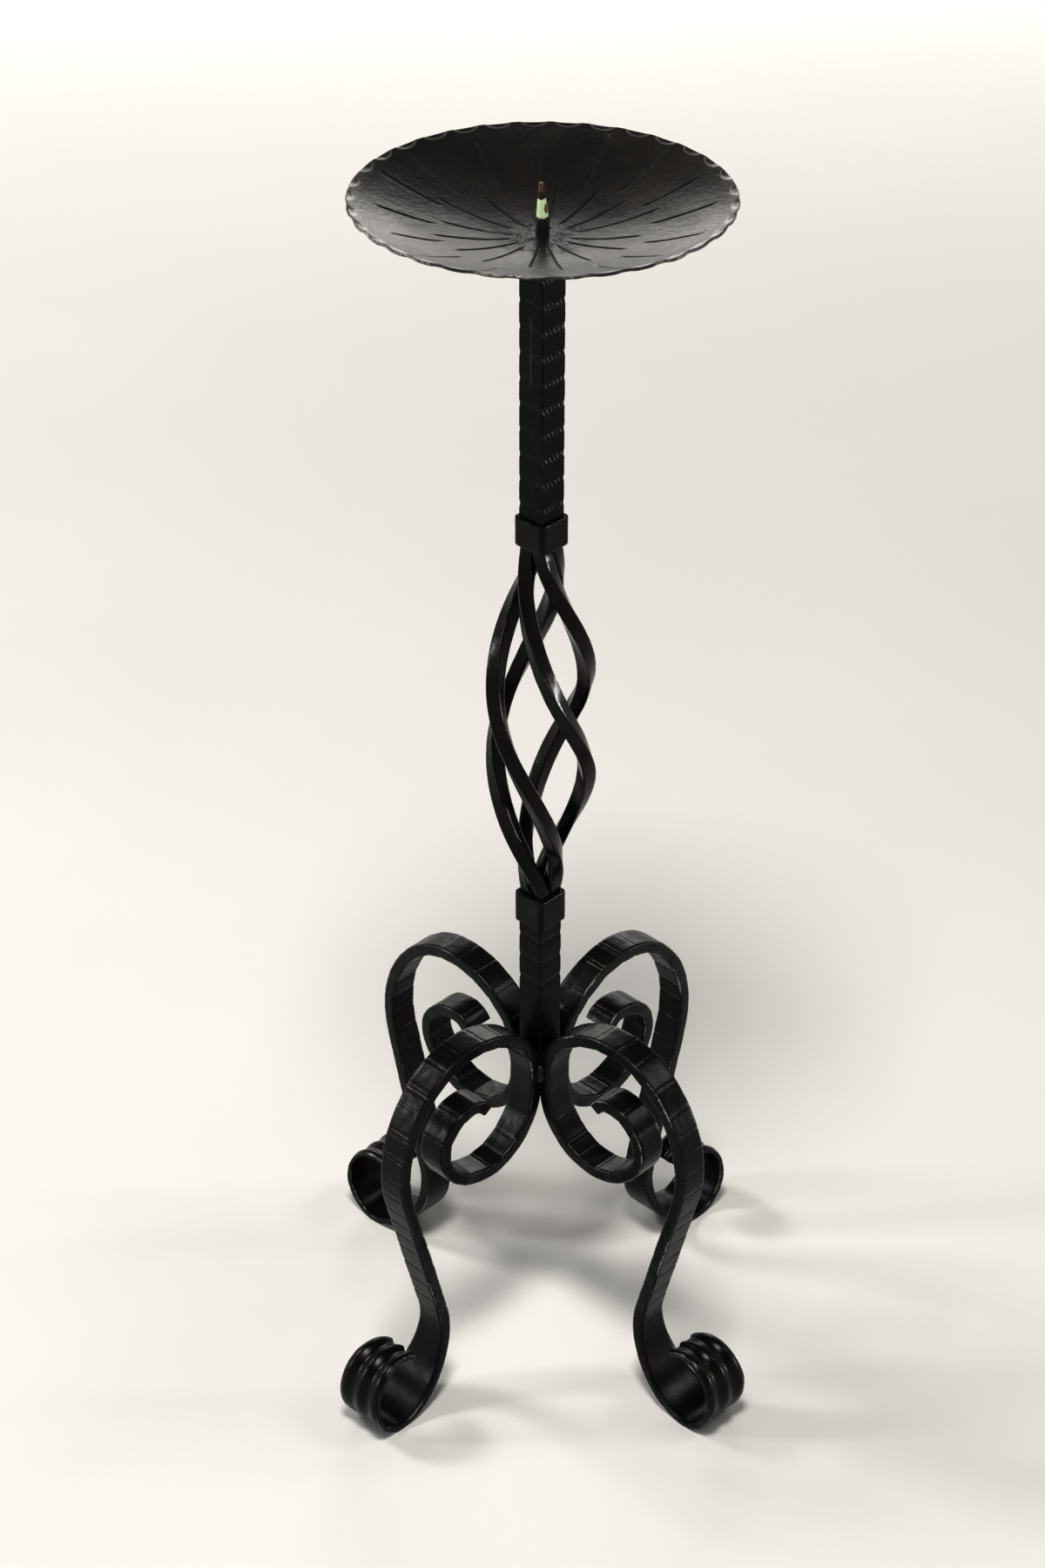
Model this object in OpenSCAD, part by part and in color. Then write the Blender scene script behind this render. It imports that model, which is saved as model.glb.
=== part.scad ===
// Forged iron candlestand: one pricket spike over a dished pan, a square stem,
// a twisted basket of four rods between two collars, and four scrolled legs.
// Millimetres. Z is up, the floor is Z = 0 and the stem stands on the Z axis.
// The four legs point along +X, +Y, -X and -Y, and the faces of the stem face them.

/* [Stem] */
// Width of the square bar
stem_size = 19; // [18:0.5:20]
// Length of the bar between the upper collar and the pan
upper_stem_length = 187.5; // [120:0.5:260]
// From the middle of the leg weld up to the lower collar
lower_stem_length = 126.8; // [110:0.1:170]
// Distance from one hammered notch to the next
notch_pitch = 17.6; // [14:0.1:22]
// Depth of a notch in the face of the bar
notch_depth = 0.6; // [0.3:0.1:1]

/* [Collars] */
// Outer width of the two square collars
collar_size = 25.4; // [24:0.1:30]
// Height of the collar above the basket
upper_collar_height = 20.5; // [20:0.5:30]
// Height of the collar under the basket
lower_collar_height = 23; // [20:0.5:30]
// Rounding of the upright edges
collar_corner = 3.5; // [2:0.1:4.5]

/* [Basket] */
// Open height between the two collars
basket_length = 266; // [230:1:320]
// From the axis to the middle of a rod at the widest point
basket_radius = 33.4; // [28:0.1:40]
// Turn of the rods from the upper collar to the lower one, in degrees
basket_twist = 270; // [180:5:300]

/* [Pan and spike] */
// Diameter of the pan at its rim
pan_diameter = 228.6; // [200:0.1:250]
// Depth of the dish
pan_depth = 24; // [18:0.5:30]
// Thickness of the sheet
pan_thickness = 2; // [1.5:0.1:3]
// Hammered scallops round the rim
rim_scallops = 33; // [24:1:40]
// Diameter of the spike where it leaves the pan
spike_diameter = 8.4; // [7:0.1:10]
// Height of the spike above the pan
spike_height = 34; // [28:0.5:45]

/* [Legs] */
// Width of the flat bar of a leg
leg_width = 21.5; // [20:0.1:22]
// Thickness of the flat bar
leg_thickness = 9; // [8:0.1:9.5]
// Straight length between the scroll and the foot
shin_length = 113.5; // [90:0.5:130]
// Width of a foot where it is widest
foot_width = 35; // [26:0.1:38]
// Width at the curled end of a foot
foot_end_width = 28; // [24:0.1:32]
// Thickness of a foot at its end
foot_thickness = 4.5; // [3.5:0.1:6]

/* [Hidden] */

// Bends of a leg as radius and turn in degrees, a turn of zero being a straight.
// They start at the weld on the stem. The scroll goes down, out, up and back in.
scroll_bends = [[47.5, 45], [42, 45], [46, 60], [27, 60], [26.5, 60], [15.5, 60]];
// The rest goes up, over and down the shin, and curls outward in the foot.
arch_bends = [[48, -45], [66, -45], [55, -45], [85.5, -60]];
foot_bends = [[51.5, 30], [60, 60], [21, 60], [31, 90], [22, 90]];
weld_flat = 13;
facet_angle = 7.5;
floor_trim = 0.4;

rod_size = stem_size / 2;
bundle_radius = rod_size / sqrt(2);
butt_weld_height = 2;
rod_seat = 9.5;
stem_round = 0.8;
collar_chamfer = 1.5;
tenon_depth = 20;
tenon_radius = spike_diameter / 2 - 0.3;
bore_clearance = 0.1;
seat_radius = 16;
stem_tail = 12;
bead_height = 15;
overlap = 1;

// Walking a chain of bends. A station holds distance out, height, heading and length so far.
function arc_steps(turn) = max(1, ceil(abs(turn) / facet_angle));
function arc_station(from, radius, turn, part) = let(
  side = sign(turn),
  heading = from[2],
  later = heading + turn * part,
  across = radius * side * (sin(later) - sin(heading)),
  along = radius * side * (cos(heading) - cos(later)))
  [from[0] + across, from[1] + along, later, from[3] + radius * abs(turn) * part * PI / 180];
function straight_station(from, length, part) = [
  from[0] + length * part * cos(from[2]),
  from[1] + length * part * sin(from[2]),
  from[2],
  from[3] + length * part];
function bend_stations(from, bend) = bend[1] == 0
  ? [for (k = [1:3]) straight_station(from, bend[0], k / 3)]
  : [for (k = [1:arc_steps(bend[1])]) arc_station(from, bend[0], bend[1], k / arc_steps(bend[1]))];
function walk(bends, from, index = 0) = index == len(bends)
  ? []
  : let(stations = bend_stations(from, bends[index]))
    concat(stations, walk(bends, stations[len(stations) - 1], index + 1));
function chain_length(bends, index = 0) = index == len(bends)
  ? 0
  : let(bend = bends[index])
    (bend[1] == 0 ? bend[0] : bend[0] * abs(bend[1]) * PI / 180) + chain_length(bends, index + 1);
function smooth(x) = let(t = min(1, max(0, x))) t * t * (3 - 2 * t);

// The middle line of a leg, measured from the middle of the weld flat
leg_radius = stem_size / 2 + leg_thickness / 2;
outer_bends = concat(arch_bends, [[shin_length, 0]], foot_bends);
outer_path = walk(outer_bends, [leg_radius, weld_flat / 2, 90, 0]);
inner_path = walk(scroll_bends, [leg_radius, -weld_flat / 2, -90, 0]);
foot_start = chain_length(arch_bends) + shin_length;
foot_bottom = foot_start + chain_length([foot_bends[0], foot_bends[1]]);
foot_end = chain_length(outer_bends);

// Thickness and width along the leg
function leg_depth(travel) = leg_thickness
  - (leg_thickness - foot_thickness) * smooth((travel - foot_start) / (foot_bottom - foot_start));
function leg_breadth(travel) = leg_width
  + (foot_width - leg_width) * smooth((travel - foot_start) / (foot_bottom - foot_start))
  - (foot_width - foot_end_width) * smooth((travel - foot_bottom) / (foot_end - foot_bottom));
function sole_height(station) = station[1] - leg_depth(station[3]) / 2 * abs(cos(station[2]));
sole = min([for (station = outer_path) sole_height(station)]);
weld_height = -sole - floor_trim;

// Corner cut of the bar, large enough to keep two neighbouring legs apart at the stem
edge_cut = max(1.5, (leg_width - stem_size) / 2 + 0.25);
function cut_at(travel) = min(edge_cut, 0.3 * leg_depth(travel));

// Heights of the stack above the weld
lower_collar_bottom = weld_height + lower_stem_length;
basket_bottom = lower_collar_bottom + lower_collar_height;
basket_top = basket_bottom + basket_length;
upper_collar_top = basket_top + upper_collar_height;
pan_underside = upper_collar_top + upper_stem_length;
pan_floor = pan_underside + pan_thickness;
lower_stem_bottom = weld_height - stem_tail;
lower_stem_top = basket_bottom - rod_seat - butt_weld_height;
upper_stem_bottom = basket_top + rod_seat + butt_weld_height;

// Closed surface through a row of rings that all have the same number of points
module skin(rings) {
  around = len(rings[0]);
  last = len(rings) - 1;
  side_faces = [for (j = [0:last - 1]) for (i = [0:around - 1]) let(
    a = j * around + i,
    b = j * around + (i + 1) % around,
    c = a + around,
    d = b + around) each [[a, d, c], [a, b, d]]];
  start_cap = [for (i = [around - 1:-1:0]) i];
  end_cap = [for (i = [0:around - 1]) last * around + i];
  polyhedron(points = [for (ring = rings) each ring],
    faces = concat(side_faces, [start_cap, end_cap]));
}

// Square prism with rounded upright edges
module round_edge_bar(size, radius, height) {
  inset = size / 2 - radius;
  union() {
    translate([-size / 2, -inset, 0]) cube([size, 2 * inset, height]);
    translate([-inset, -size / 2, 0]) cube([2 * inset, size, height]);
    for (x = [-inset, inset], y = [-inset, inset])
      translate([x, y, 0]) cylinder(h = height, r = radius, $fn = 32);
  }
}

// Square block whose top and bottom edges are cut back at 45 degrees
module cut_edge_block(size, height, cut) {
  full = size / sqrt(2);
  small = full - cut * sqrt(2);
  rotate([0, 0, 45]) union() {
    cylinder(h = cut, r1 = small, r2 = full, $fn = 4);
    translate([0, 0, cut]) cylinder(h = height - 2 * cut, r = full, $fn = 4);
    translate([0, 0, height - cut]) cylinder(h = cut, r1 = full, r2 = small, $fn = 4);
  }
}

// Notches hammered across the four faces of the stem
module notches(first, count) {
  roller = 5;
  for (i = [0:count - 1], turn = [0:90:270])
    rotate([0, 0, turn])
      translate([0, -stem_size / 2 - roller + notch_depth, first + i * notch_pitch])
        rotate([0, 90, 0]) cylinder(h = stem_size + 2 * overlap, r = roller, center = true, $fn = 32);
}

module pricket_spike() {
  color("dimgray") {
    radius = spike_diameter / 2;
    straight = 8;
    tip = 1.5;
    union() {
      translate([0, 0, pan_floor - tenon_depth]) cylinder(h = tenon_depth, r = tenon_radius, $fn = 48);
      translate([0, 0, pan_floor]) cylinder(h = straight, r = radius, $fn = 48);
      translate([0, 0, pan_floor + straight])
        cylinder(h = spike_height - straight - tip / 2, r1 = radius, r2 = tip, $fn = 48);
      translate([0, 0, pan_floor + spike_height - tip / 2])
        cylinder(h = tip / 2, r1 = tip, r2 = tip / 2, $fn = 48);
    }
  }
}

// Height of the dish above its floor, and how far its rim is pushed in and up by the hammer
function dish(radius) = pan_depth
  * pow(max(0, radius - seat_radius) / (pan_diameter / 2 - seat_radius), 1.8);
function rim_wave(angle) = pow(abs(sin(angle * rim_scallops / 2)), 0.7);
function rim_part(radius) = smooth((radius / (pan_diameter / 2) - 0.88) / 0.12);

module drip_pan() {
  color("slategray") {
    rim = pan_diameter / 2;
    hole = tenon_radius + bore_clearance;
    clear_of_spike = spike_diameter / 2 + 0.3;
    steps = rim_scallops * 4;
    spots = [hole, clear_of_spike, seat_radius, 0.26 * rim, 0.38 * rim, 0.5 * rim, 0.62 * rim,
      0.74 * rim, 0.86 * rim, 0.94 * rim, rim];
    upper = [for (s = spots) [s, pan_floor + dish(s)]];
    lower = [for (i = [len(spots) - 1:-1:0]) [spots[i], pan_underside + dish(spots[i])]];
    profile = concat(upper, lower);
    around = len(profile);
    points = [for (k = [0:steps - 1]) let(angle = 360 * k / steps) for (p = profile) let(
      pull = rim_part(p[0]) * (1 - rim_wave(angle)),
      reach = p[0] - 0.7 * pull,
      height = p[1] - 0.8 * pull)
      [reach * cos(angle), reach * sin(angle), height]];
    faces = [for (k = [0:steps - 1]) for (i = [0:around - 1]) let(
      a = k * around + i,
      b = k * around + (i + 1) % around,
      c = ((k + 1) % steps) * around + i,
      d = ((k + 1) % steps) * around + (i + 1) % around) each [[a, c, b], [b, c, d]]];
    polyhedron(points = points, faces = faces);
  }
}

// Bead that runs round the top of the stem under the pan
module pan_weld() {
  color("gray") {
    bead = 4;
    inner = stem_size / 2;
    outer = inner * sqrt(2);
    difference() {
      translate([0, 0, pan_underside - bead]) cylinder(h = bead, r1 = outer - 0.5, r2 = outer + 2, $fn = 48);
      translate([-inner, -inner, pan_underside - bead - overlap]) cube([2 * inner, 2 * inner, bead + 2 * overlap]);
    }
  }
}

module upper_stem() {
  color("darkslategray") {
    length = pan_underside - upper_stem_bottom;
    first = 11.5;
    count = floor((upper_stem_length - first - 10) / notch_pitch) + 1;
    difference() {
      translate([0, 0, upper_stem_bottom]) round_edge_bar(stem_size, stem_round, length);
      notches(upper_collar_top + first, count);
      translate([0, 0, pan_floor - tenon_depth])
        cylinder(h = tenon_depth, r = tenon_radius, $fn = 48);
    }
  }
}

module lower_stem() {
  color("darkslategray") {
    length = lower_stem_top - lower_stem_bottom;
    last = 11.5;
    count = 3;
    difference() {
      translate([0, 0, lower_stem_bottom]) round_edge_bar(stem_size, stem_round, length);
      notches(lower_collar_bottom - last - (count - 1) * notch_pitch, count);
    }
  }
}

module collar(bottom, height) {
  difference() {
    translate([0, 0, bottom]) intersection() {
      round_edge_bar(collar_size, collar_corner, height);
      cut_edge_block(collar_size, height, collar_chamfer);
    }
    translate([-stem_size / 2, -stem_size / 2, bottom - overlap])
      cube([stem_size, stem_size, height + 2 * overlap]);
  }
}

module upper_collar() {
  color("dimgray") collar(basket_top, upper_collar_height);
}

module lower_collar() {
  color("dimgray") collar(lower_collar_bottom, lower_collar_height);
}

// Weld metal between the stem and the ends of the four rods, hidden in the collar
module butt_weld(bottom) {
  width = stem_size - 1;
  translate([-width / 2, -width / 2, bottom]) cube([width, width, butt_weld_height]);
}

module upper_butt_weld() {
  color("gray") butt_weld(basket_top + rod_seat);
}

module lower_butt_weld() {
  color("gray") butt_weld(lower_stem_top);
}

// One rod of the basket: turn, distance out and height at a part of the way down
function basket_turn(part) = basket_twist
  * (part + 0.345 * sin(360 * part) / (2 * PI) + 0.181 * sin(720 * part) / (4 * PI));
function basket_reach(part) = bundle_radius
  + (basket_radius - bundle_radius) * pow(max(0, sin(180 * part)), 1.3);
function rod_centre(start, part) = let(turn = start + basket_turn(part))
  [basket_reach(part) * cos(turn), basket_reach(part) * sin(turn), basket_top - basket_length * part];
function unit(v) = v / norm(v);

// Square ring of the rod at right angles to its run, one corner pointing away from the axis
function rod_ring(start, part) = let(
  step = 0.002,
  run = unit(rod_centre(start, max(0, part - step)) - rod_centre(start, min(1, part + step))),
  lean = smooth(min(part, 1 - part) / 0.06),
  up = unit([0, 0, 1] * (1 - lean) + run * lean),
  turn = start + basket_turn(part),
  out = [cos(turn), sin(turn), 0],
  side = unit(cross(up, out)),
  face = cross(side, up),
  a = (face + side) / sqrt(2),
  b = (side - face) / sqrt(2))
  square_ring(rod_centre(start, part), a, b);
function square_ring(centre, a, b) = let(
  half = rod_size / 2,
  edge = half - 0.6) [
  centre + half * a - edge * b,
  centre + half * a + edge * b,
  centre + edge * a + half * b,
  centre - edge * a + half * b,
  centre - half * a + edge * b,
  centre - half * a - edge * b,
  centre - edge * a - half * b,
  centre + edge * a - half * b];
function lifted(ring, height) = [for (p = ring) p + [0, 0, height]];

module basket_rod(start) {
  color("darkslategray") {
    stations = 56;
    open_part = [for (k = [0:stations]) rod_ring(start, k / stations)];
    top = lifted(open_part[0], rod_seat);
    bottom = lifted(open_part[stations], -rod_seat);
    skin(concat([top], open_part, [bottom]));
  }
}

module basket_rod_right() { basket_rod(-45); }
module basket_rod_rear() { basket_rod(45); }
module basket_rod_left() { basket_rod(135); }
module basket_rod_front() { basket_rod(225); }

// Ring of the flat bar of a leg. The stem side is the left hand of the way outward.
function bar_ring(station, flip) = let(
  travel = flip ? 0 : station[3],
  depth = leg_depth(travel) / 2,
  breadth = leg_breadth(travel) / 2,
  cut = cut_at(travel),
  heading = flip ? station[2] + 180 : station[2],
  out = [-sin(heading), cos(heading)],
  corners = [[depth, breadth - cut], [depth - cut, breadth], [cut - depth, breadth],
    [-depth, breadth - cut], [-depth, cut - breadth], [cut - depth, -breadth],
    [depth - cut, -breadth], [depth, cut - breadth]])
  [for (c = corners)
    [station[0] + out[0] * c[0], c[1], max(0, weld_height + station[1] + out[1] * c[0])]];

module leg(turn) {
  color("black") rotate([0, 0, turn]) {
    inner = [for (i = [len(inner_path) - 1:-1:0]) bar_ring(inner_path[i], true)];
    flat = [bar_ring([leg_radius, -weld_flat / 2, 90, 0], false),
      bar_ring([leg_radius, weld_flat / 2, 90, 0], false)];
    outer = [for (station = outer_path) bar_ring(station, false)];
    skin(concat(inner, flat, outer));
  }
}

module leg_right() { leg(0); }
module leg_rear() { leg(90); }
module leg_left() { leg(180); }
module leg_front() { leg(270); }

// Lumpy bead in the upright corner between two legs
module corner_bead(turn) {
  color("gray") rotate([0, 0, turn]) {
    corner = leg_width / 2;
    sizes = [1.5, 3.6, 3, 4.4, 3.4, 4, 1.5];
    last = len(sizes) - 1;
    bottom = weld_height - 1;
    rings = [for (k = [0:last]) let(s = sizes[k], z = bottom + bead_height * k / last) [
      [corner, corner, z],
      [corner + s, corner, z],
      [corner + 0.8 * s, corner + 0.5 * s, z],
      [corner + 0.5 * s, corner + 0.8 * s, z],
      [corner, corner + s, z]]];
    skin([for (k = [last:-1:0]) rings[k]]);
  }
}

module leg_weld_front() { corner_bead(270); }
module leg_weld_right() { corner_bead(0); }
module leg_weld_rear() { corner_bead(90); }
module leg_weld_left() { corner_bead(180); }

pricket_spike();
drip_pan();
pan_weld();
upper_stem();
upper_collar();
upper_butt_weld();
basket_rod_right();
basket_rod_rear();
basket_rod_left();
basket_rod_front();
lower_butt_weld();
lower_collar();
lower_stem();
leg_right();
leg_rear();
leg_left();
leg_front();
leg_weld_front();
leg_weld_right();
leg_weld_rear();
leg_weld_left();
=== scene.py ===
# A forged iron candlestand: pan and spike, notched stem, twisted basket, four scrolled legs.
# Lengths are millimetres in the numbers below and metres in every mesh.
import math
import random

import bmesh
import bpy
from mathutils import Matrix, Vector


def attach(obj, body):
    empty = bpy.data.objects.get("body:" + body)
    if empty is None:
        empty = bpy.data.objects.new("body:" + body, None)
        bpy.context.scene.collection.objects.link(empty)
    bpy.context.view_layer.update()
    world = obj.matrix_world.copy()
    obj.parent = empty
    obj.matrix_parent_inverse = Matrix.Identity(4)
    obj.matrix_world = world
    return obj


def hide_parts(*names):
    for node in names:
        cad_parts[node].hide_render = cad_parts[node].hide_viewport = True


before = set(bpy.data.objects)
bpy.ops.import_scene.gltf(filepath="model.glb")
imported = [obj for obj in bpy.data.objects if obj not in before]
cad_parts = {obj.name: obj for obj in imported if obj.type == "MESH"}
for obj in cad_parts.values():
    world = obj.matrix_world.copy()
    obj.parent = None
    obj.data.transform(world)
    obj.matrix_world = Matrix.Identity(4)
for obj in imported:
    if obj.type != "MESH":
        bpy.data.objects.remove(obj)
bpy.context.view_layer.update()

MM = 0.001
AXIS_UP = Vector((0, 0, 1))

# Stem, collars and basket
STEM_WIDTH = 19.0
STEM_SWELL = 0.9
STEM_CORNER = 0.5
NOTCH_PITCH = 17.4
NOTCH_DEPTH = 0.34
NOTCH_REACH = 3.4
UPPER_STEM = (645.5, 844.0)
UPPER_NOTCH = 665.5
LOWER_STEM = (208.2, 360.5)
LOWER_NOTCH = 335.5
SCRATCH_OFFSET = 0.2
SCRATCH_MIDDLE = 772.0
COLLAR_WIDTH = 25.4
COLLAR_CORNER = 3.6
UPPER_COLLAR = (636.0, 656.5)
LOWER_COLLAR = (347.0, 370.0)
BASKET_TOP = 636.0
BASKET_LENGTH = 266.0
BASKET_RADIUS = 33.4
BASKET_TWIST = 270.0
ROD_WIDTH = 9.5
ROD_SEAT = 9.5

# Pan and spike
PAN_RADIUS = 115.4
PAN_DEPTH = 26.2
PAN_SHEET = 2.0
PAN_FLOOR = 846.0
PAN_SEAT = 16.0
PAN_HOLE = 4.0
SCALLOPS = 33
SPIKE_RADIUS = 4.2
SPIKE_SHANK = 8.0
SPIKE_HEIGHT = 34.0
SPIKE_TENON = 3.0
SPIKE_LEAN = 0.7
PAN_LEAN = 2.1
PAN_LEAN_TOWARDS = 134.0

# Legs. A bend is its radius and its turn in degrees.
WELD_HEIGHT = 220.2
WELD_FLAT = 13.0
LEG_OFFSET = 14.0
LEG_WIDTH = 21.5
LEG_THICKNESS = 9.0
FOOT_WIDTH = 38.0
FOOT_END_WIDTH = 29.0
FOOT_THICKNESS = 4.5
SHIN = 113.5
SCROLL_BENDS = ((47.5, 45), (42, 45), (46, 60), (27, 60), (26.5, 60), (15.5, 60))
ARCH_BENDS = ((48, -45), (66, -45), (55, -45), (85.5, -60))
FOOT_BENDS = ((51.5, 30), (60, 60), (21, 60), (31, 90), (22, 90))
STEP = 1.0

# Half the width of the floor, in metres
FLOOR = 6.0


class Value:
    """Output of a node that takes part in ordinary sums."""

    def __init__(self, nodes, socket):
        self.nodes = nodes
        self.socket = socket

    def __add__(self, other):
        return self.nodes.maths("ADD", self, other)

    def __radd__(self, other):
        return self.nodes.maths("ADD", other, self)

    def __sub__(self, other):
        return self.nodes.maths("SUBTRACT", self, other)

    def __rsub__(self, other):
        return self.nodes.maths("SUBTRACT", other, self)

    def __mul__(self, other):
        return self.nodes.maths("MULTIPLY", self, other)

    def __rmul__(self, other):
        return self.nodes.maths("MULTIPLY", other, self)

    def __truediv__(self, other):
        return self.nodes.maths("DIVIDE", self, other)

    def __rtruediv__(self, other):
        return self.nodes.maths("DIVIDE", other, self)

    def __pow__(self, other):
        return self.nodes.maths("POWER", self, other)


class Nodes:
    """A node tree of a material or of a shape."""

    def __init__(self, tree):
        self.tree = tree

    def add(self, kind, inputs=None, stops=None, **settings):
        """New node with its settings first, then the values or links of its sockets."""
        node = self.tree.nodes.new(kind)
        for name, setting in settings.items():
            setattr(node, name, setting)
        if stops:
            ramp = node.color_ramp
            while len(ramp.elements) < len(stops):
                ramp.elements.new(0.5)
            for element, (position, colour) in zip(ramp.elements, stops):
                element.position = position
                element.color = (*colour, 1)
        for key, given in (inputs or {}).items():
            self.feed(node.inputs[key], given)
        return node

    def feed(self, socket, given):
        if isinstance(given, Value):
            self.tree.links.new(given.socket, socket)
        elif given is not None:
            socket.default_value = given

    def get(self, kind, inputs=None, output=0, **settings):
        return Value(self, self.add(kind, inputs, **settings).outputs[output])

    def maths(self, operation, *given):
        return self.get("ShaderNodeMath", dict(enumerate(given)), operation=operation)

    def vector(self, operation, *given, output=0):
        inputs = dict(enumerate(given))
        return self.get("ShaderNodeVectorMath", inputs, output, operation=operation)

    def scaled(self, vector, factor):
        return self.get("ShaderNodeVectorMath", {0: vector, "Scale": factor}, operation="SCALE")

    def parts(self, vector):
        node = self.add("ShaderNodeSeparateXYZ", {0: vector})
        return [Value(self, socket) for socket in node.outputs]

    def smooth(self, given, low=0.0, high=1.0):
        """0 below low, 1 above high, with an eased run between them."""
        inputs = {"Value": given, "From Min": low, "From Max": high}
        return self.get("ShaderNodeMapRange", inputs, interpolation_type="SMOOTHSTEP")

    def noise(self, place, scale, detail=2.0, roughness=0.5):
        inputs = {"Vector": place, "Scale": scale, "Detail": detail, "Roughness": roughness}
        return self.get("ShaderNodeTexNoise", inputs)

    def cos(self, given):
        return self.maths("COSINE", given)

    def sin(self, given):
        return self.maths("SINE", given)

    def size(self, given):
        return self.maths("ABSOLUTE", given)

    def biggest(self, *given):
        return self.maths("MAXIMUM", *given)

    def smallest(self, *given):
        return self.maths("MINIMUM", *given)


class Shape(Nodes):
    """Geometry tree that turns a rail with its measures into a finished skin."""

    def __init__(self, name):
        super().__init__(bpy.data.node_groups.new(name, "GeometryNodeTree"))
        face = self.tree.interface
        face.new_socket("Rail", in_out="INPUT", socket_type="NodeSocketGeometry")
        face.new_socket("Skin", in_out="OUTPUT", socket_type="NodeSocketGeometry")
        self.entry = self.tree.nodes.new("NodeGroupInput")
        self.rail = Value(self, self.entry.outputs["Rail"])

    def input(self, name, kind="Float"):
        self.tree.interface.new_socket(name, in_out="INPUT", socket_type="NodeSocket" + kind)
        return Value(self, self.entry.outputs[name])

    def read(self, name, kind="FLOAT"):
        return self.get("GeometryNodeInputNamedAttribute", {"Name": name}, data_type=kind)

    def keep(self, geometry, name, given, kind="FLOAT"):
        inputs = {"Geometry": geometry, "Name": name, "Value": given}
        return self.get("GeometryNodeStoreNamedAttribute", inputs, data_type=kind, domain="POINT")

    def done(self, skin, material):
        """Smooth skin with sharp turns left sharp, made real, in its material."""
        smooth = self.get("GeometryNodeSetShadeSmooth", {"Geometry": skin}, domain="FACE")
        turn = self.get("GeometryNodeInputMeshEdgeAngle")
        sharp = self.maths("GREATER_THAN", turn, math.radians(50))
        inputs = {"Geometry": smooth, "Selection": sharp, "Shade Smooth": False}
        edged = self.get("GeometryNodeSetShadeSmooth", inputs, domain="EDGE")
        real = self.get("GeometryNodeRealizeInstances", {"Geometry": edged})
        dressed = self.get("GeometryNodeSetMaterial", {"Geometry": real, "Material": material})
        leave = self.tree.nodes.new("NodeGroupOutput")
        self.feed(leave.inputs["Skin"], dressed)


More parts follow.
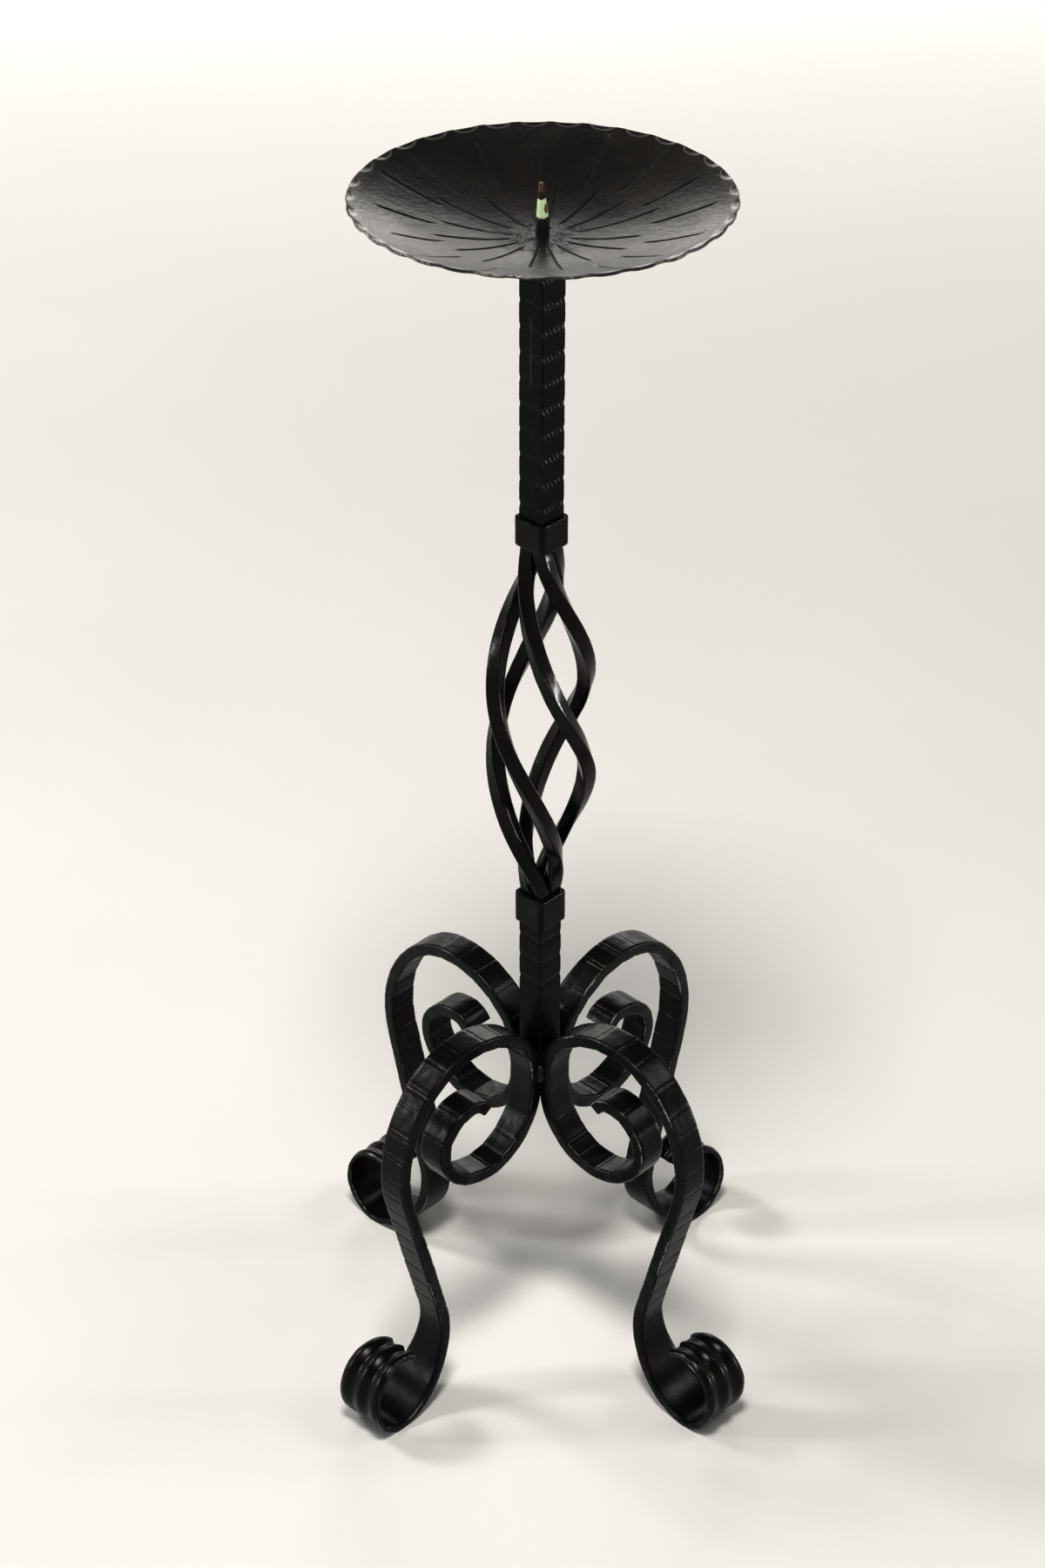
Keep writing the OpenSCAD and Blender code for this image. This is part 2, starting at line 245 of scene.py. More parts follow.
def bar_tree():
    """Bar of rounded square section along a rail, with nicks, flutes and hammer marks."""
    nodes = Shape("Forged bar")
    width = nodes.input("Width")
    thickness = nodes.input("Thickness")
    corner = nodes.input("Corner")
    grain = nodes.input("Section step")
    nick_depth = nodes.input("Nick depth")
    side_nick = nodes.input("Side nick")
    flute_depth = nodes.input("Flute depth")
    flute_pitch = nodes.input("Flute pitch")
    wander = nodes.input("Wander")
    dimple = nodes.input("Dimple")
    worn_reach = nodes.input("Worn reach")
    seed = nodes.input("Seed")
    material = nodes.input("Material", "Material")

    outline = nodes.get("GeometryNodeCurvePrimitiveQuadrilateral",
                        {"Width": width, "Height": thickness}, mode="RECTANGLE")
    rounded = nodes.get("GeometryNodeFilletCurve",
                        {"Curve": outline, "Count": 5, "Radius": corner, "Limit Radius": True},
                        mode="POLY")
    even = nodes.get("GeometryNodeResampleCurve", {"Curve": rounded, "Length": grain},
                     mode="LENGTH")
    place = nodes.get("GeometryNodeInputPosition")
    section = nodes.keep(even, "section", place, "FLOAT_VECTOR")
    line = nodes.get("GeometryNodeMeshToCurve", {"Mesh": nodes.rail})
    tube = nodes.get("GeometryNodeCurveToMesh",
                     {"Curve": line, "Profile Curve": section, "Fill Caps": True})

    centre = nodes.read("centre", "FLOAT_VECTOR")
    outward = nodes.read("outward", "FLOAT_VECTOR")
    side = nodes.read("side", "FLOAT_VECTOR")
    nick = nodes.read("nick")
    across, through, _ = nodes.parts(nodes.read("section", "FLOAT_VECTOR"))
    half_width = width * 0.5
    half_thickness = thickness * 0.5

    # Hammer marks move the surface a little, from two sizes of noise
    shift = nodes.get("ShaderNodeCombineXYZ", {"X": seed, "Y": seed * 0.37, "Z": seed * 0.73})
    here = nodes.vector("ADD", centre, shift)
    spread = nodes.scaled(nodes.vector("ADD", nodes.scaled(side, across),
                                       nodes.scaled(outward, through)), 1.0)
    skin_place = nodes.vector("ADD", here, spread)
    slow = nodes.noise(here, 45.0, 1.0) - 0.5
    quick = nodes.noise(skin_place, 150.0, 2.0) - 0.5
    sway_x = 1.0 + slow * wander / half_width + quick * dimple / half_width
    sway_y = 1.0 + quick * dimple / half_thickness
    nick_x = 1.0 - nick * side_nick * nick_depth / half_width
    nick_y = 1.0 - nick * nick_depth / half_thickness

    # Flutes cut into the underside of a foot run to its end and show there
    ripple = nodes.cos(across * (2 * math.pi) / flute_pitch)
    under = nodes.smooth(0.0 - through / half_thickness, 0.2, 0.9)
    flute = nodes.read("flute") * (ripple - 1.2)
    groove = flute * under * flute_depth
    end_wave = nodes.read("tip") * ripple * flute_depth

    x = across * nodes.read("breadth") * sway_x * nick_x
    y = through * nodes.read("depth") * sway_y * nick_y - groove
    along = nodes.vector("CROSS_PRODUCT", side, outward)
    moved = nodes.vector("ADD", centre, nodes.scaled(side, x))
    moved = nodes.vector("ADD", moved, nodes.scaled(outward, y))
    moved = nodes.vector("ADD", moved, nodes.scaled(along, end_wave))
    moved_parts = nodes.parts(moved)
    grounded = nodes.get("ShaderNodeCombineXYZ", {
        "X": moved_parts[0], "Y": moved_parts[1], "Z": nodes.biggest(moved_parts[2], 0.0)})
    skin = nodes.get("GeometryNodeSetPosition", {"Geometry": tube, "Position": grounded})

    # What the finish reads: nearness to a corner of the bar, and place on the bar
    near = (half_width - nodes.size(across)) + (half_thickness - nodes.size(through))
    edge = 1.0 - (near - corner * (2 - math.sqrt(2))) / worn_reach
    skin = nodes.keep(skin, "edge", nodes.biggest(edge, 0.0))
    surface = nodes.get("ShaderNodeCombineXYZ", {
        "X": across, "Y": through, "Z": nodes.read("travel")})
    skin = nodes.keep(skin, "bar", surface, "FLOAT_VECTOR")
    nodes.done(skin, material)
    return nodes.tree


def pan_tree():
    """Dished sheet turned from its profile, with chisel lines and rim hollows."""
    nodes = Shape("Hammered pan")
    radius = nodes.input("Radius")
    around = nodes.input("Steps round", "Int")
    scallops = nodes.input("Scallops")
    chisels = nodes.input("Chisel lines")
    chisel_depth = nodes.input("Chisel depth")
    chisel_width = nodes.input("Chisel width")
    hollow_width = nodes.input("Hollow width")
    hollow_reach = nodes.input("Hollow reach")
    hollow_depth = nodes.input("Hollow depth")
    hollow_push = nodes.input("Hollow push")
    dimple = nodes.input("Dimple")
    lean = nodes.input("Lean")
    lean_towards = nodes.input("Lean towards")
    seed = nodes.input("Seed")
    material = nodes.input("Material", "Material")

    circle = nodes.get("GeometryNodeCurvePrimitiveCircle",
                       {"Resolution": around, "Radius": radius}, mode="RADIUS")
    index = nodes.get("GeometryNodeInputIndex")
    turning = nodes.keep(circle, "turn", index * (2 * math.pi) / around)
    profile = nodes.get("GeometryNodeMeshToCurve", {"Mesh": nodes.rail})
    sheet = nodes.get("GeometryNodeCurveToMesh", {"Curve": turning, "Profile Curve": profile})

    turn = nodes.read("turn")
    reach = nodes.read("reach")
    height = nodes.read("height")
    upper = nodes.read("upper")
    rim = nodes.read("rim")

    # Hollows struck at the rim push it down and outward, and it stands up between them
    pitch = (2 * math.pi) / scallops
    blow = nodes.maths("FLOOR", turn / pitch)
    uneven = nodes.get("ShaderNodeTexWhiteNoise", {"W": blow + 61.7 + seed},
                       noise_dimensions="1D")
    off_hollow = (turn / pitch - blow - 0.5 - (uneven - 0.5) * 0.12) * pitch * radius
    inside = radius - reach
    bowl = 1.0 - (off_hollow / hollow_width) ** 2 - (inside / hollow_reach) ** 2
    hollow = nodes.smooth(bowl) * (0.7 + uneven * 0.6)
    # Painted highlight: a pale band just inside the edge of each hollow, where the bend catches
    # the light
    hollow_highlight = nodes.smooth(1.0 - nodes.size(bowl - 0.3) * 4.0, 0.0, 1.0) * upper
    far = reach + (hollow - rim * 0.5) * hollow_push
    tall = height + (rim * 0.5 - hollow) * hollow_depth

    # Chisel lines, an inner row and an outer row between its lines
    def chisel_row(stagger, start, end, jitter_seed):
        step = (2 * math.pi) / chisels
        place = turn / step + stagger
        number = nodes.maths("FLOOR", place)
        noise = nodes.get("ShaderNodeTexWhiteNoise", {"W": number + jitter_seed + seed},
                          noise_dimensions="1D")
        length = nodes.get("ShaderNodeTexWhiteNoise", {"W": number + jitter_seed + 40.5 + seed},
                           noise_dimensions="1D")
        off = (place - number - 0.5 - (noise - 0.5) * 0.34) * step * reach
        share = reach / radius
        begin = start + (length - 0.5) * 0.05
        finish = end + (length - 0.5) * 0.16
        window = nodes.smooth(share, begin, begin + 0.03)
        window = window * (1.0 - nodes.smooth(share, finish - 0.03, finish))
        return nodes.smooth(1.0 - nodes.size(off) / chisel_width, 0.0, 1.0) * window

    lines = nodes.biggest(chisel_row(0.0, 0.15, 0.54, 3.1), chisel_row(0.5, 0.56, 0.90, 17.3))
    lines = lines * upper

    flat_place = nodes.get("ShaderNodeCombineXYZ", {
        "X": far * nodes.cos(turn), "Y": far * nodes.sin(turn), "Z": seed})
    broad = (nodes.noise(flat_place, 28.0, 2.0) - 0.5) * dimple * (1.0 - rim * 0.6)
    seat = nodes.smooth(reach, 0.12 * radius, 0.3 * radius)
    top = tall + broad * seat - lines * chisel_depth
    towards = far * nodes.cos(turn - lean_towards)
    spot = nodes.get("ShaderNodeCombineXYZ", {
        "X": far * nodes.cos(turn), "Y": far * nodes.sin(turn), "Z": top - towards * lean})
    skin = nodes.get("GeometryNodeSetPosition", {"Geometry": sheet, "Position": spot})
    # The chisel lines go to the finish as crease, where painted shade darkens them
    skin = nodes.keep(skin, "crease", lines)
    skin = nodes.keep(skin, "edge", nodes.smooth(rim, 0.97, 1.0))
    # The attribute hollow carries that painted highlight to the finish
    skin = nodes.keep(skin, "hollow", hollow_highlight)
    nodes.done(skin, material)
    return nodes.tree


def rail_mesh(name, stations, closed=False):
    """Row of points joined by edges, with the measures of each station as attributes."""
    mesh = bpy.data.meshes.new(name)
    count = len(stations)
    edges = [(k, k + 1) for k in range(count - 1)]
    if closed:
        edges.append((count - 1, 0))
    mesh.from_pydata([station["centre"] for station in stations], edges, [])
    for key, first in stations[0].items():
        if isinstance(first, Vector):
            layer = mesh.attributes.new(key, "FLOAT_VECTOR", "POINT")
            layer.data.foreach_set("vector", [c for s in stations for c in s[key]])
        else:
            layer = mesh.attributes.new(key, "FLOAT", "POINT")
            layer.data.foreach_set("value", [float(s[key]) for s in stations])
    return mesh


def grown(name, tree, rail, sizes, slot, *nodes_replaced):
    """The plain mesh that a tree makes of a rail, as a piece of the stand."""
    piece = bpy.data.objects.new(name, rail)
    bpy.context.scene.collection.objects.link(piece)
    modifier = piece.modifiers.new("grow", "NODES")
    modifier.node_group = tree
    for item in tree.interface.items_tree:
        if item.item_type == "SOCKET" and item.in_out == "INPUT" and item.name in sizes:
            modifier[item.identifier] = sizes[item.name]
    view_layer = bpy.context.view_layer
    view_layer.update()
    graph = bpy.context.evaluated_depsgraph_get()
    skin = bpy.data.meshes.new_from_object(
        piece.evaluated_get(graph), preserve_all_data_layers=True, depsgraph=graph)
    piece.modifiers.clear()
    shape = bmesh.new()
    shape.from_mesh(skin)
    if shape.calc_volume(signed=True) < 0:
        bmesh.ops.reverse_faces(shape, faces=shape.faces)
    shape.to_mesh(skin)
    shape.free()
    skin.name = name
    piece.data = skin
    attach(piece, "root")
    if nodes_replaced:
        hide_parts(*nodes_replaced)
    return piece


def station(centre, outward, side, travel, **measures):
    """One cross-section of a bar: its middle, its two directions and its measures."""
    full = {"breadth": 1.0, "depth": 1.0, "nick": 0.0, "flute": 0.0, "tip": 0.0}
    full.update(measures)
    full.update(centre=Vector(centre) * MM, outward=Vector(outward).normalized(),
                side=Vector(side).normalized(), travel=travel * MM)
    return full


def eased(given, low=0.0, high=1.0):
    share = min(1.0, max(0.0, (given - low) / (high - low)))
    return share * share * (3 - 2 * share)


def walk(bends, across, up, heading):
    """Points of a chain of bends: distance out, height, heading in degrees, length so far."""
    line = [(across, up, heading, 0.0)]
    for radius, turn in bends:
        length = radius if turn == 0 else radius * abs(math.radians(turn))
        steps = max(1, round(length / STEP))
        x0, z0, h0, t0 = line[-1]
        for k in range(1, steps + 1):
            part = k / steps
            if turn == 0:
                run = length * part
                x = x0 + run * math.cos(math.radians(h0))
                z = z0 + run * math.sin(math.radians(h0))
                line.append((x, z, h0, t0 + run))
                continue
            bend = math.copysign(radius, turn)
            first = math.radians(h0)
            later = math.radians(h0 + turn * part)
            x = x0 + bend * (math.sin(later) - math.sin(first))
            z = z0 + bend * (math.cos(first) - math.cos(later))
            line.append((x, z, h0 + turn * part, t0 + length * part))
    return line


def chain_length(bends):
    return sum(radius if turn == 0 else radius * abs(math.radians(turn)) for radius, turn in bends)


FOOT_START = chain_length(ARCH_BENDS) + SHIN
FOOT_BOTTOM = FOOT_START + chain_length(FOOT_BENDS[:2])
FOOT_END = FOOT_START + chain_length(FOOT_BENDS)
SCROLL_END = -chain_length(SCROLL_BENDS) - WELD_FLAT


def crease_places(seed):
    """Where the smith's hammer left a line across a leg, as lengths from the weld."""
    random.seed(seed)
    places = []
    at = SCROLL_END + 9.0
    while at < FOOT_START + 12:
        places.append(at)
        if random.random() < 0.22:
            places.append(at + 3.2)
        at += random.uniform(13.5, 20.5)
    return [p for p in places if not -26 < p < 9]


def leg_line():
    """Middle line of a leg from the tip of the scroll to the end of the foot."""
    inner = walk(SCROLL_BENDS, LEG_OFFSET, -WELD_FLAT / 2, -90)
    outer = walk(ARCH_BENDS + ((SHIN, 0),) + FOOT_BENDS, LEG_OFFSET, WELD_FLAT / 2, 90)
    line = [(x, z, h + 180, -WELD_FLAT - t) for x, z, h, t in reversed(inner)]
    flat = round(WELD_FLAT / STEP)
    for k in range(1, flat):
        part = k / flat
        line.append((LEG_OFFSET, WELD_FLAT * (part - 0.5), 90, WELD_FLAT * (part - 1)))
    return line + outer


def leg_stations(turn, seed):
    """Stations of a leg, flattened between its creases as the hammer left it."""
    line = leg_line()
    creases = crease_places(seed)
    angle = math.radians(turn)
    out = Vector((math.cos(angle), math.sin(angle), 0))
    side = Vector((-math.sin(angle), math.cos(angle), 0))
    travels = [p[3] for p in line]

    def on_line(travel):
        k = min(range(len(travels)), key=lambda i: abs(travels[i] - travel))
        return Vector((line[k][0], line[k][1]))

    spots = [on_line(c) for c in creases]
    stations = []
    for x, z, heading, travel in line:
        spot = Vector((x, z))
        for k in range(len(creases) - 1):
            if creases[k] <= travel < creases[k + 1] and creases[k + 1] - creases[k] < 25:
                share = (travel - creases[k]) / (creases[k + 1] - creases[k])
                chord = spots[k].lerp(spots[k + 1], share)
                flatness = 0.35 + 0.2 * eased(travel, -30, 30)
                flatness *= 1 - eased(travel, FOOT_START - 15, FOOT_START + 10)
                flatness *= eased(travel, SCROLL_END + 4, SCROLL_END + 22)
                spot = spot.lerp(chord, flatness)
        nick = max((1 - eased(abs(travel - c), 0.2, 1.8) for c in creases), default=0)
        turn_in = math.radians(heading)
        normal = out * -math.sin(turn_in) + AXIS_UP * math.cos(turn_in)
        widen = eased(travel, FOOT_START, FOOT_BOTTOM)
        narrow = eased(travel, FOOT_BOTTOM + 35, FOOT_END + 10)
        breadth = LEG_WIDTH + (FOOT_WIDTH - LEG_WIDTH) * widen
        breadth -= (FOOT_WIDTH - FOOT_END_WIDTH) * narrow
        depth = LEG_THICKNESS - (LEG_THICKNESS - FOOT_THICKNESS) * widen
        stations.append(station(
            out * spot[0] + AXIS_UP * (WELD_HEIGHT + spot[1]), normal, side, travel,
            breadth=breadth / LEG_WIDTH, depth=depth / LEG_THICKNESS, nick=nick,
            flute=eased(travel, FOOT_BOTTOM + 15, FOOT_BOTTOM + 55),
            tip=eased(travel, FOOT_END - 6, FOOT_END)))
    return stations


def basket_turn(part):
    first = 0.345 * math.sin(2 * math.pi * part) / (2 * math.pi)
    second = 0.181 * math.sin(4 * math.pi * part) / (4 * math.pi)
    return BASKET_TWIST * (part + first + second)


def rod_centre(start, part):
    bundle = ROD_WIDTH / math.sqrt(2)
    belly = max(0.0, math.sin(math.pi * part)) ** 1.3
    reach = bundle + (BASKET_RADIUS - bundle) * belly
    turn = math.radians(start + basket_turn(part))
    return Vector((reach * math.cos(turn), reach * math.sin(turn),
                   BASKET_TOP - BASKET_LENGTH * part))


def rod_stations(start):
    """Stations of a basket rod, with one corner of its square turned outward."""
    stations = []
    count = 300
    for k in range(count + 1):
        part = k / count
        ahead = rod_centre(start, min(1, part + 0.002))
        behind = rod_centre(start, max(0, part - 0.002))
        run = (behind - ahead).normalized()
        lean = eased(min(part, 1 - part), 0, 0.06)
        up = (AXIS_UP * (1 - lean) + run * lean).normalized()
        turn = math.radians(start + basket_turn(part))
        out = Vector((math.cos(turn), math.sin(turn), 0))
        across = up.cross(out).normalized()
        face = across.cross(up)
        stations.append(station(rod_centre(start, part), face + across, across - face,
                                BASKET_LENGTH * part))
    for end, lift in ((0, ROD_SEAT), (-1, -ROD_SEAT)):
        last = stations[end]
        extra = dict(last)
        extra["centre"] = last["centre"] + AXIS_UP * lift * MM
        if end == 0:
            stations.insert(0, extra)
        else:
            stations.append(extra)
    return stations


def stem_stations(bottom, top, notches):
    stations = []
    count = round((top - bottom) / 0.8)
    for k in range(count + 1):
        z = bottom + (top - bottom) * k / count
        nick = max(1 - eased(abs(z - n), 0.0, NOTCH_REACH) for n in notches)
        stations.append(station((0, 0, z), (0, 1, 0), (1, 0, 0), z, nick=nick))
    return stations


def ring_stations(half, corner, z, wobble=0.0):
    """Closed path round the stem: a square with rounded corners."""
    stations = []
    per_corner = 10
    per_side = 16
    inset = half - corner
    travel = 0.0
    for quarter in range(4):
        middle = math.radians(90 * quarter)
        for k in range(per_side):
            run = -inset + 2 * inset * k / per_side
            out = Vector((math.cos(middle), math.sin(middle), 0))
            along = Vector((-math.sin(middle), math.cos(middle), 0))
            stations.append(station(out * half + along * run + AXIS_UP * z, out, AXIS_UP, travel))
            travel += 2 * inset / per_side
        pivot = out * inset + along * inset
        for k in range(per_corner):
            angle = middle + math.pi / 2 * k / per_corner
            out_now = Vector((math.cos(angle), math.sin(angle), 0))
            stations.append(station(pivot + out_now * corner + AXIS_UP * z, out_now, AXIS_UP,
                                    travel))
            travel += corner * math.pi / 2 / per_corner
    return stations


def spike_stations():
    stations = []
    bottom = PAN_FLOOR - SPIKE_TENON
    top = PAN_FLOOR + SPIKE_HEIGHT
    count = 60
    for k in range(count + 1):
        z = bottom + (top - bottom) * k / count
        rise = z - PAN_FLOOR
        taper = eased(rise, SPIKE_SHANK * 0.8, SPIKE_HEIGHT * 0.97)
        radius = SPIKE_RADIUS - (SPIKE_RADIUS - 1.5) * max(0, (rise - SPIKE_SHANK) / 25.3)
        radius = min(SPIKE_RADIUS, max(0.9, radius)) if rise > 0 else SPIKE_RADIUS - 0.4
        lean = SPIKE_LEAN * taper
        stations.append(station((-lean * 0.7, -lean * 0.7, z), (0, 1, 0), (1, 0, 0), rise,
                                breadth=radius / SPIKE_RADIUS, depth=radius / SPIKE_RADIUS))
    return stations


def bead_stations(turn):
    """Lumpy run of weld metal in the upright corner between two legs."""
    stations = []
    angle = math.radians(turn + 45)
    out = Vector((math.cos(angle), math.sin(angle), 0))
    side = Vector((-math.sin(angle), math.cos(angle), 0))
    corner = LEG_WIDTH / math.sqrt(2)
    bottom = WELD_HEIGHT - 1
    count = 30
    for k in range(count + 1):
        part = k / count
        lump = 0.92 + 0.08 * math.cos(2 * math.pi * part * 2.3)
        size = lump * math.sqrt(max(0.02, math.sin(math.pi * part)))
        stations.append(station(out * (corner + 0.5) + AXIS_UP * (bottom + 15 * part), out, side,
                                15 * part, breadth=size, depth=size))
    return stations


def pan_profile():
    """Closed outline of the sheet, from the hole out over the top and back underneath."""
    def dish(radius):
        share = max(0, radius - PAN_SEAT) / (PAN_RADIUS - PAN_SEAT)
        return PAN_DEPTH * share ** 1.8

    half = PAN_SHEET / 2
    spots = []
    radius = PAN_HOLE
    while radius < PAN_RADIUS - half:
        spots.append(radius)
        radius += 2.4 if radius < PAN_RADIUS - 12 else 0.7
    spots.append(PAN_RADIUS - half)
    outline = [(r, dish(r) + half, 1.0) for r in spots]
    turns = 6
    for k in range(1, turns):
        angle = math.pi * (0.5 - k / turns)
        reach = PAN_RADIUS - half + half * math.cos(angle)
        outline.append((reach, dish(PAN_RADIUS - half) + half * math.sin(angle),
                        max(0.0, 1 - k / 3)))
    outline += [(r, dish(r) - half, 0.0) for r in reversed(spots[::1])]
    stations = []
    for reach, height, upper in outline:
        z = PAN_FLOOR - half + height
        rim = eased(reach / PAN_RADIUS, 0.88, 1.0)
        stations.append({
            "centre": Vector((reach, 0, z)) * MM, "reach": reach * MM, "height": z * MM,
            "upper": upper, "rim": rim})
    return stations


def attribute(nodes, name, output="Fac"):
    return nodes.get("ShaderNodeAttribute", output=output, attribute_name=name)


def tint(nodes, low, high, share):
    """Mix of two colours, each given as numbers or as a link."""
    def full(colour):
        return colour if isinstance(colour, Value) else (*colour, 1)

    node = nodes.add("ShaderNodeMix", data_type="RGBA", clamp_factor=True)
    nodes.feed(node.inputs[0], share)
    nodes.feed(node.inputs[6], full(low))
    nodes.feed(node.inputs[7], full(high))
    return Value(nodes, node.outputs[2])


def bump(nodes, height, strength, distance, under=None):
    inputs = {"Strength": strength, "Distance": distance, "Height": height}
    if under is not None:
        inputs["Normal"] = under
    return nodes.get("ShaderNodeBump", inputs)


def new_finish(name):
    material = bpy.data.materials.new(name)
    material.use_nodes = True
    material.node_tree.nodes.clear()
    return material, Nodes(material.node_tree)


def finished(nodes, **inputs):
    """Surface shader of a material with the sockets it is given, then the output."""
    shader = nodes.add("ShaderNodeBsdfPrincipled",
                       {key.replace("_", " "): given for key, given in inputs.items()})
    leave = nodes.add("ShaderNodeOutputMaterial")
    nodes.tree.links.new(shader.outputs[0], leave.inputs["Surface"])


def black_paint(name, edge_wear_and_highlight, sheen, shine, dashed=False):
    """Old black satin paint on forged iron, worn to the metal on its edges, with painted
    highlights along its edges and crease lines.
    """
    material, nodes = new_finish(name)
    place = nodes.get("ShaderNodeTexCoord", output="Object")
    edge = attribute(nodes, "edge")
    crease = attribute(nodes, "nick")
    surface = attribute(nodes, "bar", "Vector")
    across, through, travel = nodes.parts(surface)
    broad = nodes.noise(place, 22.0, 3.0)
    patch = nodes.noise(place, 70.0, 3.0, 0.6)
    fine = nodes.noise(place, 420.0, 4.0, 0.65)
    speck = nodes.noise(place, 1500.0, 2.0)

    body = tint(nodes, (0.0060, 0.0045, 0.0034), (0.0032, 0.0042, 0.0036),
                nodes.smooth(broad, 0.4, 0.6))
    body = tint(nodes, body, (0.013, 0.009, 0.006), nodes.smooth(patch, 0.52, 0.72) * 0.7)
    # Thin bright lines on the corners, on some stretches of the bar and not on others: worn metal,
    # and partly a painted highlight where the edges catch the light
    stretch = nodes.noise(nodes.vector("MULTIPLY", surface, (150.0, 300.0, 22.0)), 1.0, 1.0)
    bare = 0.06 + nodes.smooth(stretch, 0.53, 0.62) * 0.94
    wavy = edge + (fine - 0.5) * 0.4 + (patch - 0.5) * 0.3
    rubbed_and_highlight = nodes.smooth(wavy, 0.88, 0.99) * bare * (1.0 - attribute(nodes, "flute") * 0.6)
    # Painted highlight: crease lines lightened on the wide faces, where the ridge beside each
    # hammer crease catches the light
    line = nodes.smooth(crease * (0.45 + patch * 0.9) + (fine - 0.5) * 0.4, 0.72, 1.1)
    line = line * (1.0 - nodes.smooth(nodes.size(across), 9.2 * MM, 10.1 * MM))
    worn = nodes.biggest(rubbed_and_highlight * edge_wear_and_highlight, line * 0.3)
    if dashed:
        # Short slanted pale dashes in each notch, mostly on two of the four faces
        on_side = nodes.smooth(nodes.size(across) - nodes.size(through), -0.0002, 0.0002)
        slant = nodes.sin((across + through + travel * 0.5) * (2 * math.pi / (3.6 * MM)))
        dash = nodes.smooth(crease, 0.35, 0.75) * nodes.smooth(slant, 0.3, 0.8)
        dash = dash * nodes.smooth(fine, 0.4, 0.6) * (0.12 + on_side * 0.88)
        dash = dash * (0.35 + nodes.smooth(travel, 0.5, 0.6) * 0.65)
        worn = nodes.biggest(rubbed_and_highlight * edge_wear_and_highlight, dash * 0.42)
        # One long scratch down the face that looks to the front
        beside = nodes.size(across - SCRATCH_OFFSET * MM + (fine - 0.5) * (0.3 * MM))
        ends = nodes.smooth(nodes.size(travel - SCRATCH_MIDDLE * MM), 0.020, 0.025)
        scratch = (1.0 - nodes.smooth(beside, 0.05 * MM, 0.22 * MM)) * (1.0 - ends)
        scratch = scratch * nodes.smooth(0.0 - through, 0.008, 0.009)
        worn = nodes.biggest(worn, scratch * (0.05 + patch * 0.4))
    # Pale metal colour over worn: rubbed edges with painted edge highlights, painted crease
    # highlights, and the stem's pale dashes and scratch
    colour = tint(nodes, body, (0.40, 0.39, 0.37), worn)
    gloss = sheen + patch * 0.12 + fine * 0.06 + worn * 0.1
    relief = bump(nodes, fine * 0.5 + patch * 0.5, 0.15, 0.0006)
    relief = bump(nodes, speck, 0.10, 0.00025, relief)
    finished(nodes, Base_Color=colour, Roughness=gloss, Metallic=worn * 0.7, Normal=relief,
             Specular_IOR_Level=shine)
    return material


def pan_paint():
    """Grey-black paint of the pan with fine scratches, pitting and a rubbed rim, with painted
    shade in the chisel lines and a painted highlight round each rim hollow.
    """
    material, nodes = new_finish("Pan paint")
    place = nodes.get("ShaderNodeTexCoord", output="Object")
    x, y, z = nodes.parts(place)
    edge = attribute(nodes, "edge")
    crease = attribute(nodes, "crease")
    reach = (x * x + y * y) ** 0.5
    turn = nodes.maths("ARCTAN2", y, x)
    broad = nodes.noise(place, 26.0, 3.0)
    fine = nodes.noise(place, 380.0, 4.0, 0.6)
    speck = nodes.noise(place, 900.0, 2.0)
    patch = nodes.noise(place, 160.0, 2.0)
    brushed = nodes.get("ShaderNodeCombineXYZ", {"X": reach * 900.0, "Y": turn * 14.0, "Z": 0.0})
    stroke = nodes.noise(brushed, 1.0, 2.0)
    body = tint(nodes, (0.0062, 0.0046, 0.0034), (0.0092, 0.0070, 0.0054),
                nodes.smooth(broad, 0.35, 0.65))
    body = tint(nodes, body, (0.017, 0.0138, 0.0112), nodes.smooth(stroke, 0.5, 0.8) * 0.4)
    core = 1.0 - nodes.smooth(reach, 0.014, 0.036)
    pits = nodes.smooth(speck + patch * 0.9, 0.98, 1.12) * core
    # Dark pits near the middle, and painted shade down the chisel lines
    body = tint(nodes, body, (0.006, 0.005, 0.0045), nodes.biggest(pits, crease * 0.5))
    # Painted highlight round each rim hollow, pale on the dark paint
    rubbed_and_highlight = attribute(nodes, "hollow") * (0.5 + fine)
    body = tint(nodes, body, (0.085, 0.078, 0.070), rubbed_and_highlight)
    worn = nodes.smooth(edge + (fine - 0.5) * 1.6 + (broad - 0.5) * 1.6, 0.85, 1.2) * 0.5
    colour = tint(nodes, body, (0.34, 0.32, 0.29), worn)
    gloss = 0.26 + broad * 0.14 + fine * 0.08 + pits * 0.5
    pebble = nodes.noise(place, 190.0, 3.0, 0.6)
    relief = bump(nodes, pebble + fine * 0.4, 0.4, 0.0007)
    relief = bump(nodes, pits * -1.0, 0.35, 0.0004, relief)
    finished(nodes, Base_Color=colour, Roughness=gloss, Metallic=worn, Normal=relief,
             Specular_IOR_Level=0.6)
    return material


